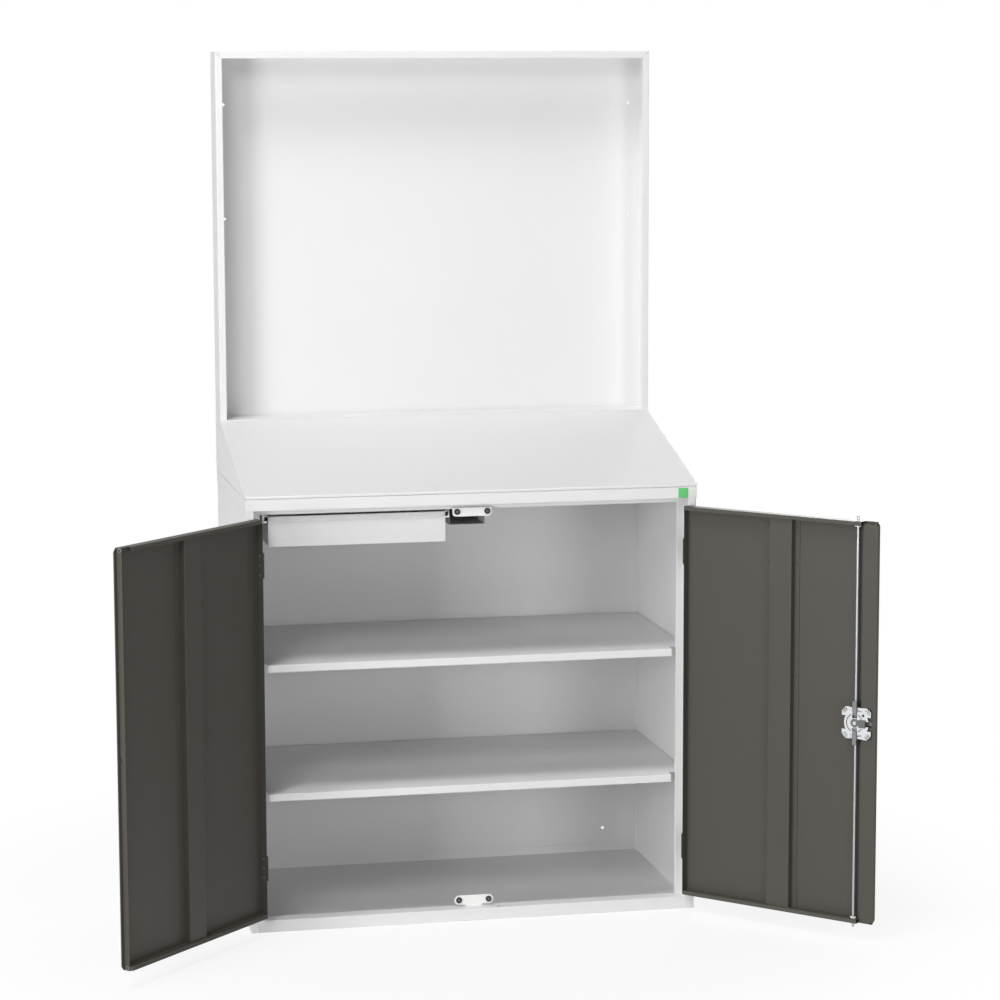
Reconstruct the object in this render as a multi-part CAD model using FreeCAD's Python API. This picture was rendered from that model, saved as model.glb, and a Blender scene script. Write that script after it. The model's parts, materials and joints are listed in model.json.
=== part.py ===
import FreeCAD, Part
import math
import os

# Sheet steel lectern cabinet, millimetres.
# X runs to the right, Y to the back, Z up; the origin is the middle of the base.
# Depths named d are measured back from the front of the fascia.

os.makedirs("parts", exist_ok=True)
V = FreeCAD.Vector

# Overall sizes
width = 1050.0
depth = 550.0
height = 2000.0
carcass_top = 1000.0
lectern_rear = 1130.0
sheet = 1.2
bend = 1.0

# Carcass
side_inset = 2.2
cap_inset = 0.8
fascia_high = 26.0
fascia_return = 18.0
post_face = 17.8
post_depth = 38.0
strip_width = 18.0
strip_lip = 10.0
rear_flange = 20.0
back_fold = 10.0
tray_upturn = 20.0
stiffener_foot = 15.0
stiffener_slope = 7.0
stiffener_crown = 76.0
ledge_z = 28.0
floor_z = 6.0
stop_drop = 14.0
fixing_in = 87.8
fixing_z = 65.0
fixing_r = 4.0
side_x = width / 2.0 - side_inset
cap_x = width / 2.0 - cap_inset
post_x = side_x - post_face
strip_x = post_x - strip_width
back_x = side_x - sheet
back_front = depth - 2.0 * sheet
cap_under = carcass_top - sheet
under = floor_z - sheet
fascia_bottom = carcass_top - fascia_high
stop_low = fascia_bottom - stop_drop

# Shelves
slot_first = 108.5
slot_pitch = 100.0
slot_count = 8
shelf_slots = (2, 5)
hook_drop = 6.5
shelf_lip = 17.5
shelf_setback = 6.0
shelf_play = 0.4
nose_depth = 60.0
slot_inset = 97.5
slot_height = 8.0
slot_width = 5.0
clip_half = 7.0
clip_ledge = 14.0
clip_thick = 1.5
shelf_front = post_depth - shelf_setback
shelf_back = back_front - 7.6
shelf_nose_x = strip_x - 12.0
shelf_x = back_x - sheet - shelf_play
slot_depths = (slot_inset, depth - slot_inset)
slot_heights = [slot_first + k * slot_pitch for k in range(slot_count)]

# Drawer
drawer_width = 406.5
drawer_high = 67.0
drawer_length = 418.8
drawer_setback = 10.0
runner_room = 12.0
runner_half = 10.0
runner_gap = 0.6
pull_flat = 4.0
pull_out = 8.0
pull_drop = 11.0
pull_clip = 14.0
hanger_width = 83.5
hanger_high = 80.0
hanger_lip = 17.0
bracket_width = 30.0
drawer_face = post_depth + drawer_setback
drawer_back = drawer_face + sheet + drawer_length
front_high = stop_low - 5.0
drawer_rim = front_high - 2.0
drawer_bottom = drawer_rim - drawer_high
runner_z = front_high - 7.0
hang_left = -(strip_x - 9.0)
hang_right = hang_left + drawer_width + 2.0 * runner_room
hanger_right = hang_right + hanger_width
hanger_low = carcass_top - hanger_high
runner_start = drawer_face + 12.0

# Lectern and panel
gap_z = 1.5
nose_z = 7.0
spacer_in = 3.0
spacer_bar = 20.0
panel_depth = 95.0
panel_lip = 16.0
mitre_slit = 0.5
seam_in = 45.0
panel_hole_in = 29.0
panel_hole_drop = 124.5
panel_hole_pitch = 271.2
panel_hole_r = 3.5
panel_front = depth - panel_depth
half = width / 2.0

# Doors, drawn closed and swung open to the rest angle
rest_angle = 133.8
leaf = 1.5
leaf_play = 0.3
hinge_length = 65.0
leaf_deep = 30.0
leaf_proud = 2.5
leaf_clip = 5.0
barrel_r = 3.0
pin_r = 1.5
fit = 0.06
top_gap = 16.0
bottom_gap = 12.0
door_depth = 22.0
hinge_return = 19.0
top_lip = 9.0
bottom_lip = 6.5
right_free = 5.0
right_return = 11.0
right_lip = 36.0
lip_relief = 5.0
meeting_gap = 2.0
overlap_strip = 8.0
left_return = 17.0
left_notch = 26.0
hem_gap = 0.6
corner_relief = 4.0
vent_in = 35.0
vent_r = 3.0
hat_near = 211.0
hat_width = 86.0
hat_depth = 16.0
hat_side = 13.8
hat_foot = 13.0
low_hinge = 115.5
high_hinge = 105.0
hinge_x = post_x - leaf
hinge_d = -(barrel_r + 0.4)
door_edge = hinge_x - leaf_play - leaf
door_top = fascia_bottom - top_gap
door_bottom = ledge_z + bottom_gap
hem = 2.0 * sheet + hem_gap
door_bend = (hem - sheet) / 2.0 - 0.05
left_free = meeting_gap - right_free
left_flange = left_free + overlap_strip

# Lock
lock_back = 50.0
lock_z = 500.0
module = 1.5
teeth = 12
pressure = math.radians(25.0)
addendum = 1.2
dedendum = 1.6
backlash = 0.4
yoke_bar = 6.0
stem_half = 5.0
stem_reach = 19.0
rod_r = 3.0
rod_clear = 1.4
keeper_gap = 1.2
bush_r = 6.0
bush_neck = 4.6
bush_high = 4.0
plate = 3.0
layer = 0.4
lobe_r = 9.5
lobe_out = 10.4
case_shift = 4.0
post_half = 5.5
cover_thick = 2.0
strap_thick = 1.6
strap_start = 19.0
square = 3.5
hub_r = 8.0
tongue_in = 0.5
lip_edge = 8.5
lock_x = right_free + lock_back
case_x = lock_x - case_shift
rod_d = door_depth / 2.0
pitch_r = module * teeth / 2.0
throw = pitch_r * math.pi / 2.0
tip_r = pitch_r + addendum
root_r = pitch_r - dedendum
lobe_at = pitch_r + dedendum + yoke_bar + lobe_out
case_r = lobe_at + 4.0
rod_top = fascia_bottom - rod_clear
rod_low = ledge_z + rod_clear
base_d = 2.5 * sheet
tongue_d, upper_d, lower_d = [base_d + layer + k * (plate + layer) for k in range(3)]
cover_d = lower_d + plate + layer
strap_d = cover_d + cover_thick + layer

# Handle
grip_out = -27.0
grip_half = 40.0
grip_wide = 14.0
grip_thick = 12.0
boss_r = 13.0
plug_r = 6.0
plug_depth = 14.0
rose_half = 20.0
rose_high = 96.0
rose_thick = 3.0

# Stops
buffer_x = 35.0
buffer_r = 7.0
buffer_gap = 0.4
buffer_thick = 3.6
stop_half = 46.0
stop_high = 20.0
stop_above = 4.0
stop_round = 8.0
pill_high = 22.0
pill_lift = 4.0
pill_foot = 20.0
stop_front = door_depth + buffer_gap + buffer_thick


def at(d):
    """Row Y of a point d behind the fascia."""
    return d - depth / 2.0


def block(x0, x1, d0, d1, z0, z1):
    return Part.makeBox(x1 - x0, d1 - d0, z1 - z0, V(x0, at(d0), z0))


def disc(x, z, r, d0, d1):
    """Cylinder along Y."""
    return Part.makeCylinder(r, d1 - d0, V(x, at(d0), z), V(0, 1, 0))


def post(x, d, r, z0, z1):
    """Cylinder along Z."""
    return Part.makeCylinder(r, z1 - z0, V(x, at(d), z0), V(0, 0, 1))


def union(shapes):
    whole = shapes[0].fuse(list(shapes[1:])) if len(shapes) > 1 else shapes[0]
    return whole.removeSplitter()


def cut(shape, tools):
    return shape.cut(list(tools)).removeSplitter()


def mirrored(shape):
    return shape.mirror(V(0, 0, 0), V(1, 0, 0))


def both(shape):
    return [shape, mirrored(shape)]


def left_of(d):
    return -d[1], d[0]


def heading(p, q):
    length = math.hypot(q[0] - p[0], q[1] - p[1])
    return (q[0] - p[0]) / length, (q[1] - p[1]) / length


def beside(line, offset):
    """A polyline moved to its left by offset, with mitred corners."""
    ways = [heading(p, q) for p, q in zip(line, line[1:])]
    moved = []
    for i, p in enumerate(line):
        n0 = left_of(ways[max(i - 1, 0)])
        n1 = left_of(ways[min(i, len(ways) - 1)])
        k = offset / (1.0 + n0[0] * n1[0] + n0[1] * n1[1])
        moved.append((p[0] + k * (n0[0] + n1[0]), p[1] + k * (n0[1] + n1[1])))
    return moved


def side_path(mid, s, radius, place):
    """Edges of one side of a bent strip, s to the left of its middle: round outside a fold, sharp inside."""
    ways = [heading(p, q) for p, q in zip(mid, mid[1:])]
    edges = []
    n = left_of(ways[0])
    first = (mid[0][0] + s * n[0], mid[0][1] + s * n[1])
    here = first
    for i in range(1, len(mid) - 1):
        u = ways[i - 1]
        w = ways[i]
        nu = left_of(u)
        nw = left_of(w)
        turn = math.atan2(u[0] * w[1] - u[1] * w[0], u[0] * w[0] + u[1] * w[1])
        hand = 1.0 if turn > 0 else -1.0
        if hand * s > 0.0:
            k = s / (1.0 + nu[0] * nw[0] + nu[1] * nw[1])
            corner = (mid[i][0] + k * (nu[0] + nw[0]), mid[i][1] + k * (nu[1] + nw[1]))
            edges.append(Part.makeLine(place(here), place(corner)))
            here = corner
            continue
        run = radius * math.tan(abs(turn) / 2.0)
        t0 = (mid[i][0] - u[0] * run, mid[i][1] - u[1] * run)
        t1 = (mid[i][0] + w[0] * run, mid[i][1] + w[1] * run)
        c = (t0[0] + hand * radius * nu[0], t0[1] + hand * radius * nu[1])
        a = (t0[0] + s * nu[0], t0[1] + s * nu[1])
        b = (t1[0] + s * nw[0], t1[1] + s * nw[1])
        m = heading(c, mid[i])
        r = radius - hand * s
        top = (c[0] + m[0] * r, c[1] + m[1] * r)
        edges.append(Part.makeLine(place(here), place(a)))
        edges.append(Part.Arc(place(a), place(top), place(b)).toShape())
        here = b
    n = left_of(ways[-1])
    last = (mid[-1][0] + s * n[0], mid[-1][1] + s * n[1])
    edges.append(Part.makeLine(place(here), place(last)))
    return edges, first, last


def folded(line, axis, start, end, thick=sheet, radius=bend):
    """Bent sheet: its outer face follows the line and the sheet lies to the line's right.

    The radius is that of the sheet's middle; 0 leaves the folds sharp.
    """
    places = {
        "x": lambda p: V(start, at(p[0]), p[1]),
        "y": lambda p: V(p[0], at(start), p[1]),
        "z": lambda p: V(p[0], at(p[1]), start),
    }
    ways = {"x": V(end - start, 0, 0), "y": V(0, end - start, 0), "z": V(0, 0, end - start)}
    place = places[axis]
    if radius == 0.0:
        ring = [place(p) for p in line + beside(line, -thick)[::-1]]
        return Part.Face(Part.makePolygon(ring + ring[:1])).extrude(ways[axis])
    mid = beside(line, -thick / 2.0)
    upper, a0, a1 = side_path(mid, thick / 2.0, radius, place)
    lower, b0, b1 = side_path(mid, -thick / 2.0, radius, place)
    edges = upper + [Part.makeLine(place(a1), place(b1))]
    edges = edges + lower + [Part.makeLine(place(b0), place(a0))]
    wire = Part.Wire(Part.__sortEdges__(edges))
    return Part.Face(wire).extrude(ways[axis])


def slab_y(outline, d0, d1):
    """Polygon of x, z corners, extruded along Y."""
    corners = [V(x, at(d0), z) for x, z in outline]
    corners.append(corners[0])
    return Part.Face(Part.makePolygon(corners)).extrude(V(0, d1 - d0, 0))


def slab_x(outline, x0, x1):
    """Polygon of d, z corners, extruded along X."""
    corners = [V(x0, at(d), z) for d, z in outline]
    corners.append(corners[0])
    return Part.Face(Part.makePolygon(corners)).extrude(V(x1 - x0, 0, 0))


def rounded_y(shape, r, keep):
    """Fillet the edges along Y whose middle point passes the test."""
    picked = []
    for e in shape.Edges:
        p = e.valueAt(e.FirstParameter)
        q = e.valueAt(e.LastParameter)
        if abs(p.x - q.x) < 1e-6 and abs(p.z - q.z) < 1e-6 and abs(p.y - q.y) > 1e-6:
            if keep(p):
                picked.append(e)
    return shape.makeFillet(r, picked)


def save(name, shapes):
    shapes = shapes if isinstance(shapes, list) else [shapes]
    shape = shapes[0] if len(shapes) == 1 else Part.makeCompound(shapes)
    shape.exportStep("parts/" + name + ".step")


def swung(shapes, hand):
    """Closed door pieces turned about their hinge to the rest angle; hand is +1 for the right door."""
    turned = []
    for s in shapes if isinstance(shapes, list) else [shapes]:
        t = s.copy()
        t.rotate(V(hand * hinge_x, at(hinge_d), 0), V(0, 0, 1), hand * rest_angle)
        turned.append(t)
    return turned


# Carcass sides, one folded sheet each

side_line = [(side_x - rear_flange, depth), (side_x, depth), (side_x, 0.0), (post_x, 0.0),
             (post_x, post_depth), (strip_x, post_depth), (strip_x, post_depth + strip_lip)]
side = folded(side_line, "z", 0.0, cap_under)
side = cut(side, [
    block(post_x - 1.0, width, -1.0, sheet + 2.0, fascia_bottom, carcass_top),
    block(post_x - 2.0, post_x + 4.0, -1.0, fascia_return + 0.5, fascia_bottom, carcass_top),
    block(strip_x - 1.0, post_x, post_depth - 1.0, post_depth + strip_lip + 1.0, -1.0, floor_z),
    block(side_x - rear_flange - 1.0, width, depth - sheet, depth + 1.0, fascia_bottom, carcass_top),
])
slots = []
for d in slot_depths:
    for z in slot_heights:
        slots.append(block(back_x - 1.0, side_x + 1.0, d - slot_width / 2.0, d + slot_width / 2.0,
                           z - slot_height / 2.0, z + slot_height / 2.0))
side = cut(side, slots)
save("right_side", side)
save("left_side", mirrored(side))

# Carcass back with four fixing holes

back = folded([(-back_x, back_front - back_fold), (-back_x, back_front + sheet),
               (back_x, back_front + sheet), (back_x, back_front - back_fold)], "z", floor_z, cap_under)
holes = []
for x in (fixing_in - side_x, side_x - fixing_in):
    for z in (fixing_z, carcass_top - fixing_z):
        holes.append(disc(x, z, fixing_r, back_front - 2.0, depth))
save("carcass_back", cut(back, holes))

# Floor tray with front rail, ledge and keeper hole, and the stiffener under it

tray_line = [(14.0, 0.0), (0.0, 0.0), (0.0, ledge_z), (post_depth, ledge_z),
             (post_depth, floor_z), (back_front - sheet, floor_z)]
tray = folded(tray_line, "x", -post_x, post_x)
wing = block(post_x - 1.0, back_x, post_depth + strip_lip, back_front - back_fold - 2.0, under, floor_z)
upturn = folded([(back_front - back_fold, floor_z), (back_front - sheet, floor_z),
                 (back_front - sheet, floor_z + tray_upturn)],
                "x", back_fold + 2.0 - back_x, back_x - back_fold - 2.0)
tray = cut(union([tray, wing, mirrored(wing), upturn]),
           [post(lock_x, rod_d, rod_r + keeper_gap, ledge_z - 3.0, ledge_z + 1.0)])
save("floor_tray", tray)

crown = stiffener_crown / 2.0
shoulder = crown + stiffener_slope
foot_end = shoulder + stiffener_foot
middle = depth / 2.0
stiff = folded([(middle - foot_end, under), (middle - shoulder, under), (middle - crown, sheet),
                (middle + crown, sheet), (middle + shoulder, under), (middle + foot_end, under)],
               "x", -strip_x, strip_x, sheet, 0.0)
save("floor_stiffener", stiff)

# Top cap with fascia, skirts and keeper hole

cap = folded([(0.0, fascia_bottom), (0.0, carcass_top), (depth, carcass_top), (depth, fascia_bottom)],
             "x", -cap_x, cap_x)
skirt = block(cap_x - sheet, cap_x, sheet, depth - sheet, fascia_bottom, carcass_top - 0.4)
lip = block(-post_x, post_x, 0.4, fascia_return, fascia_bottom, fascia_bottom + sheet)
cap = cut(union([cap, skirt, mirrored(skirt), lip]),
          [post(lock_x, rod_d, rod_r + keeper_gap, fascia_bottom - 1.0, fascia_bottom + 3.0)])
save("top_cap", cap)

# Stop rail behind the fascia

stop_rail = folded([(post_depth, stop_low), (post_depth, cap_under), (post_depth + 22.0, cap_under)],
                   "x", -strip_x, strip_x)
save("top_stop_rail", stop_rail)

# Shelves on clips hooked into the side slots


def shelf(top):
    nose = folded([(shelf_front + 12.0, top - shelf_lip), (shelf_front, top - shelf_lip), (shelf_front, top),
                   (shelf_back, top), (shelf_back, top - shelf_lip)], "x", -shelf_nose_x, shelf_nose_x)
    side_lip = folded([(shelf_nose_x - 1.0, top), (shelf_x, top), (shelf_x, top - shelf_lip)],
                      "y", nose_depth, shelf_back, sheet, 0.0)
    return union([nose, side_lip, mirrored(side_lip)])


shelf_tops = [slot_heights[k] + hook_drop for k in shelf_slots]
save("lower_shelf", shelf(shelf_tops[0]))
save("upper_shelf", shelf(shelf_tops[1]))

clips = []
tab_half = slot_width / 2.0 - 0.2
tab_rise = slot_height / 2.0 - 0.5
for d in slot_depths:
    for top in shelf_tops:
        seat = top - shelf_lip
        hook = top - hook_drop
        body = block(back_x - sheet, back_x, d - clip_half, d + clip_half, seat - clip_thick, top - 1.0)
        ledge = block(back_x - clip_ledge, back_x, d - clip_half, d + clip_half, seat - clip_thick, seat)
        tab = block(back_x - 0.5, side_x, d - tab_half, d + tab_half, hook - tab_rise, hook + tab_rise)
        clips = clips + both(union([body, ledge, tab]))
save("shelf_clips", clips)

# Drawer hangers

bracket = folded([(hang_left - bracket_width, cap_under), (hang_left, cap_under),
                  (hang_left, runner_z - runner_half - 4.0)], "y", runner_start, drawer_back, sheet, 0.0)
save("drawer_bracket", bracket)
channel = folded([(hanger_right - hanger_lip, cap_under), (hanger_right, cap_under),
                  (hanger_right, hanger_low), (hang_right, hanger_low),
                  (hang_right, cap_under), (hang_right + hanger_lip, cap_under)],
                 "y", runner_start, drawer_back, sheet, 0.0)
save("drawer_hanger", channel)

# Telescopic runners: fixed, middle and drawer members


def member(web_x, reach, tall, hand, d0, d1):
    """Channel with its web at web_x, opening towards hand."""
    line = [(web_x + hand * reach, runner_z + tall), (web_x, runner_z + tall),
            (web_x, runner_z - tall), (web_x + hand * reach, runner_z - tall)]
    if hand > 0:
        line = line[::-1]
    return folded(line, "y", d0, d1, sheet, 0.0)


step = sheet + runner_gap
fixed_run = []
middle_run = []
inner_run = []
for x, hand in ((hang_left, 1.0), (hang_right, -1.0)):
    fixed_run.append(member(x, runner_room - sheet - 0.4, runner_half, hand, runner_start, drawer_back))
    middle_run.append(member(x + hand * step, runner_room - step - sheet - 0.8, runner_half - step, hand,
                             runner_start - 4.0, drawer_back - 28.0))
    inner_run.append(member(x + hand * runner_room, runner_room - 2.0 * step - 0.4, runner_half - 2.0 * step,
                            -hand, runner_start - 8.0, drawer_back - 2.0))
save("runner_fixed", fixed_run)
save("runner_middle", middle_run)
save("runner_inner", inner_run)

# Drawer box and front

box_left = hang_left + runner_room
box_right = hang_right - runner_room
box = block(box_left, box_right, drawer_face + sheet, drawer_back, drawer_bottom, drawer_rim)
box = box.cut(block(box_left + sheet, box_right - sheet, drawer_face + 2.0 * sheet, drawer_back - sheet,
                    drawer_bottom + sheet, drawer_rim + 1.0))
save("drawer_box", box)

face_left = box_left - 1.0
face_right = box_right + 1.0
front_low = drawer_bottom - 1.5
fold_z = front_high - sheet
pull_low = fold_z - pull_drop
face = folded([(drawer_face, front_low), (drawer_face, fold_z), (drawer_face - pull_flat, fold_z),
               (drawer_face - pull_out, pull_low)], "x", face_left, face_right)
trim = []
for x, s in ((face_left, 1.0), (face_right, -1.0)):
    trim.append(slab_y([(x - s, fold_z - 1.0), (x, fold_z - 1.0), (x + s * pull_clip, pull_low - 1.0),
                        (x - s, pull_low - 1.0)], drawer_face - 2.0 * pull_out, drawer_face - 0.4))
save("drawer_front", cut(face, trim))

# Lectern desk on its spacer, and the riser behind the seam

spacer = block(spacer_in - half, half - spacer_in, spacer_in, depth - spacer_in,
               carcass_top, carcass_top + gap_z)
window = spacer_in + spacer_bar
spacer = spacer.cut(block(window - half, half - window, window, depth - window,
                          carcass_top - 1.0, carcass_top + gap_z + 1.0))
save("lectern_spacer", spacer)

foot = carcass_top + gap_z
nose = carcass_top + nose_z
wedge = [(0.0, foot), (0.0, nose), (panel_front, lectern_rear), (depth, lectern_rear), (depth, foot)]
cheek = slab_x(wedge, half - sheet, half)
turn_in = block(half - window, half, 0.6, depth - 0.6, foot, foot + sheet)
desk = union([folded(wedge, "x", -half, half), cheek, mirrored(cheek), turn_in, mirrored(turn_in)])
seam = depth - seam_in
desk = desk.cut(block(-half - 1.0, half + 1.0, seam - 0.4, seam + 0.4, foot - 1.0, lectern_rear + 1.0))
pieces = sorted(desk.Solids, key=lambda s: s.CenterOfMass.y)
save("lectern_desk", pieces[0].removeSplitter())
save("lectern_riser", pieces[1].removeSplitter())

# Tall back panel: a folded tray with a mitred front lip

tray_line = [(panel_lip - half, panel_front), (-half, panel_front), (-half, depth),
             (half, depth), (half, panel_front), (half - panel_lip, panel_front)]
panel = folded(tray_line, "z", lectern_rear, height)
head = folded([(panel_front, height - panel_lip), (panel_front, height), (depth - 0.5, height)],
              "x", 0.6 - half, half - 0.6)
sill = block(0.6 - half, half - 0.6, panel_front, depth - 0.5, lectern_rear, lectern_rear + sheet)
mitres = []
for s in (-1.0, 1.0):
    x0 = half - panel_lip
    z0 = height - panel_lip
    run = panel_lip - 2.0
    mitres.append(slab_y([(s * (x0 - mitre_slit), z0), (s * x0, z0 - mitre_slit),
                          (s * (x0 + run), z0 + run - mitre_slit), (s * (x0 + run - mitre_slit), z0 + run)],
                         panel_front - 1.0, panel_front + sheet))
    for k in range(2):
        z = height - panel_hole_drop - k * panel_hole_pitch
        mitres.append(disc(s * (half - panel_hole_in), z, panel_hole_r, depth - 4.0, depth + 1.0))
save("back_panel", cut(union([panel, head, sill]), mitres))

# Plain tag on the fascia

tag_right = 21.2
tag_width = 23.3
tag_left = half - tag_right - tag_width
save("tag", block(tag_left, tag_left + tag_width, -0.4, 0.0, fascia_bottom + 0.8, carcass_top - 2.0))

# Stop plates and rubber buffers

stop_back = stop_front + sheet
arm_z = stop_low + stop_above
top_plate = block(-stop_half, stop_half, stop_front, stop_back, arm_z - stop_high, arm_z)
top_plate = rounded_y(top_plate, stop_round, lambda p: p.z < stop_low)
arm = block(-stop_half, stop_half, stop_back - sheet / 2.0, post_depth, arm_z - sheet, arm_z)
save("top_stop_plate", union([top_plate, arm]))

pill_low = ledge_z + pill_lift
pill = block(-stop_half, stop_half, stop_front, stop_back, pill_low, pill_low + pill_high)
pill = rounded_y(pill, 0.495 * pill_high, lambda p: True)
neck_plate = block(-pill_foot, pill_foot, stop_front, stop_back, ledge_z, pill_low + sheet)
low_foot = block(-pill_foot, pill_foot, stop_front, post_depth - 2.0, ledge_z, ledge_z + sheet)
save("bottom_stop_plate", union([pill, neck_plate, low_foot]))

buffers = []
for x in (-buffer_x, buffer_x):
    for z in (arm_z - stop_high + pill_high / 2.0, pill_low + pill_high / 2.0):
        buffers.append(disc(x, z, buffer_r, stop_front - buffer_thick, stop_front))
save("buffers", buffers)

# Door trays


def door_tray(free_line, flange_stop):
    """Tray with hinge flange, skin, free edge, and top and bottom flanges that end at flange_stop."""
    line = [(door_edge, hinge_return), (door_edge, 0.0)] + free_line
    flange_end = door_edge - corner_relief
    tray = folded(line, "z", door_bottom, door_top, sheet, door_bend)
    top = folded([(0.6, door_top), (door_depth, door_top), (door_depth, door_top - top_lip)],
                 "x", flange_stop, flange_end, sheet, 0.0)
    low = folded([(door_depth, door_bottom + bottom_lip), (door_depth, door_bottom), (0.6, door_bottom)],
                 "x", flange_stop, flange_end, sheet, 0.0)
    vent = post(hinge_x - vent_in, door_depth / 2.0, vent_r, door_top - 3.0, door_top + 1.0)
    return cut(union([tray, top, low]), [vent])


def corner_cuts(x, run, rise, d1):
    """Tools that chamfer the free corners at the top and the bottom."""
    cuts = []
    for z, s in ((door_top, -1.0), (door_bottom, 1.0)):
        cuts.append(slab_y([(x - 1.0, z - s), (x + run, z - s), (x + run, z), (x, z + s * rise),
                            (x - 1.0, z + s * rise)], -1.0, d1))
    return cuts


right = door_tray([(right_free, 0.0), (right_free, right_return), (right_free + right_lip, right_return)],
                  right_free + right_lip + 0.6)
gap_high = lobe_at + post_half + 1.5
lip_end = right_free + right_lip + 1.0
mouth = stem_half + layer
cuts = corner_cuts(right_free, 6.0, 10.0, right_return + 1.0) + [
    block(right_free + lip_edge, lip_end, right_return - 2.0 * sheet, right_return + 1.0,
          lock_z - gap_high, lock_z + gap_high),
    block(right_free - 1.0, right_free + 2.0 * sheet, tongue_d - layer, tongue_d + plate + layer,
          lock_z - mouth, lock_z + mouth),
    disc(lock_x, lock_z, hub_r - 0.5, -1.0, sheet + 1.0),
    post(lock_x, rod_d, bush_neck + fit, door_top - 3.0, door_top + 1.0),
    post(lock_x, rod_d, bush_neck + fit, door_bottom - 1.0, door_bottom + 3.0),
]
for z0, z1 in ((door_bottom - 1.0, door_bottom + lip_relief), (door_top - lip_relief, door_top + 1.0)):
    cuts.append(block(right_free + lip_edge, lip_end, right_return - 2.0 * sheet, right_return + 1.0, z0, z1))
save("right_door", swung(cut(right, cuts), 1.0))

left = door_tray([(left_free, 0.0), (left_free, hem), (left_flange, hem), (left_flange, left_return)],
                 left_flange + left_notch)
webs = []
for z in (door_bottom, door_top - sheet):
    webs.append(block(left_flange + 0.6, left_flange + left_notch + 1.0, 0.6, left_return - 1.0,
                      z, z + sheet))
left = cut(union([left] + webs), corner_cuts(left_free, overlap_strip, 10.0, hem + 0.2) + [
    block(left_flange - 1.0, left_flange + 2.0 * sheet, tongue_d - 0.9 * layer, tongue_d + plate + layer,
          lock_z - mouth, lock_z + mouth),
    post(left_flange + left_notch / 2.0, left_return / 2.0, vent_r, door_top - 3.0, door_top + 1.0),
])
save("left_door", swung(mirrored(left), -1.0))

hat_x = hinge_x - hat_near - hat_width
hat = folded([(hat_x, 2.0 * sheet), (hat_x + hat_foot, 2.0 * sheet), (hat_x + hat_side, hat_depth),
              (hat_x + hat_width - hat_side, hat_depth), (hat_x + hat_width - hat_foot, 2.0 * sheet),
              (hat_x + hat_width, 2.0 * sheet)], "z", door_bottom + 8.0, door_top - 8.0)
save("right_stiffener", swung(hat, 1.0))
save("left_stiffener", swung(mirrored(hat), -1.0))

# Lift-off hinges: a pin on the post leaf carries the door leaf


def hinge_leaf(x0, reach, lo, hi):
    """Flat leaf with clipped rear corners."""
    return slab_x([(0.0, lo), (reach - leaf_clip, lo), (reach, lo + leaf_clip),
                   (reach, hi - leaf_clip), (reach - leaf_clip, hi), (0.0, hi)], x0, x0 + leaf)


post_leaves = []
door_leaves = []
for z in (door_bottom + low_hinge, door_top - high_hinge):
    lo = z - hinge_length / 2.0
    hi = z + hinge_length / 2.0
    post_leaves.append(union([hinge_leaf(hinge_x, leaf_deep, lo, hi),
                              block(hinge_x, post_x, hinge_d, 0.5, lo, z),
                              post(hinge_x, hinge_d, barrel_r, lo, z),
                              post(hinge_x, hinge_d, pin_r, z - 1.0, hi - 3.0)]))
    start = z + leaf_play
    knuckle = [hinge_leaf(door_edge, hinge_return + leaf_proud, lo, hi),
               block(door_edge, door_edge + leaf, hinge_d, 0.5, start, hi),
               post(hinge_x, hinge_d, barrel_r, start, hi)]
    door_leaves.append(cut(union(knuckle), [post(hinge_x, hinge_d, pin_r + fit, start - 1.0, hi - 2.0)]))
save("post_leaves", [m for s in post_leaves for m in both(s)])
save("right_leaves", swung(door_leaves, 1.0))
save("left_leaves", swung([mirrored(s) for s in door_leaves], -1.0))

# Three point lock: a pinion drives two rods and a tongue through toothed yokes

lobes = [(sx, sz, case_x + sx * lobe_at, lock_z + sz * lobe_at) for sx in (-1.0, 1.0) for sz in (-1.0, 1.0)]
case_high = case_r - 2.0
case_parts = [block(case_x - case_r, case_x + case_r, sheet, base_d, lock_z - case_high, lock_z + case_high)]
for sx, sz, x, z in lobes:
    case_parts.append(block(x - post_half, x + post_half, base_d - 0.5, cover_d,
                            z - post_half, z + post_half))
case = cut(union(case_parts), [disc(lock_x, lock_z, hub_r - 1.0 + fit, sheet - 1.0, base_d + 1.0)])
save("lock_case", swung(case, 1.0))

cover_parts = [disc(case_x, lock_z, case_r, cover_d, cover_d + cover_thick)]
for sx, sz, x, z in lobes:
    lobe_in = 1.2 * lobe_r
    bar = [(x + sx * lobe_r, z - sz * lobe_in), (x + sx * lobe_r, z), (x, z + sz * lobe_r),
           (x - sx * lobe_in, z + sz * lobe_r), (x - sx * lobe_in, z - sz * lobe_in)]
    cover_parts.append(slab_y(bar, cover_d, cover_d + cover_thick))
ring_out = 17.0
ring_wide = 7.0
ring_gap = 4.0
sight_r = 2.0
ring_high = cover_d + cover_thick + 1.0
ring = disc(lock_x, lock_z, ring_out, cover_d + 1.0, ring_high)
slot = stem_half + 1.0
reach = case_r + 2.0 * lobe_r
near = tip_r + 1.3
above = ring_high + 1.0
cover = cut(union(cover_parts + [ring]), [
    disc(lock_x, lock_z, hub_r + fit, cover_d - 1.0, above),
    disc(lock_x, lock_z, ring_out - ring_wide, cover_d + cover_thick, above),
    block(lock_x - ring_out - 1.0, lock_x - ring_gap, cover_d + cover_thick, above,
          lock_z - ring_out - 1.0, lock_z + ring_out + 1.0),
    block(lock_x - slot, lock_x + slot, cover_d - 1.0, above, lock_z + near, lock_z + reach),
    block(lock_x - slot, lock_x + slot, cover_d - 1.0, above, lock_z - reach, lock_z - near),
    block(lock_x - reach, lock_x - near, cover_d - 1.0, above, lock_z - slot, lock_z + slot),
    disc(lock_x - ring_out - 4.0, lock_z + ring_out + 2.0, sight_r, cover_d - 1.0, above),
])
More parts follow.
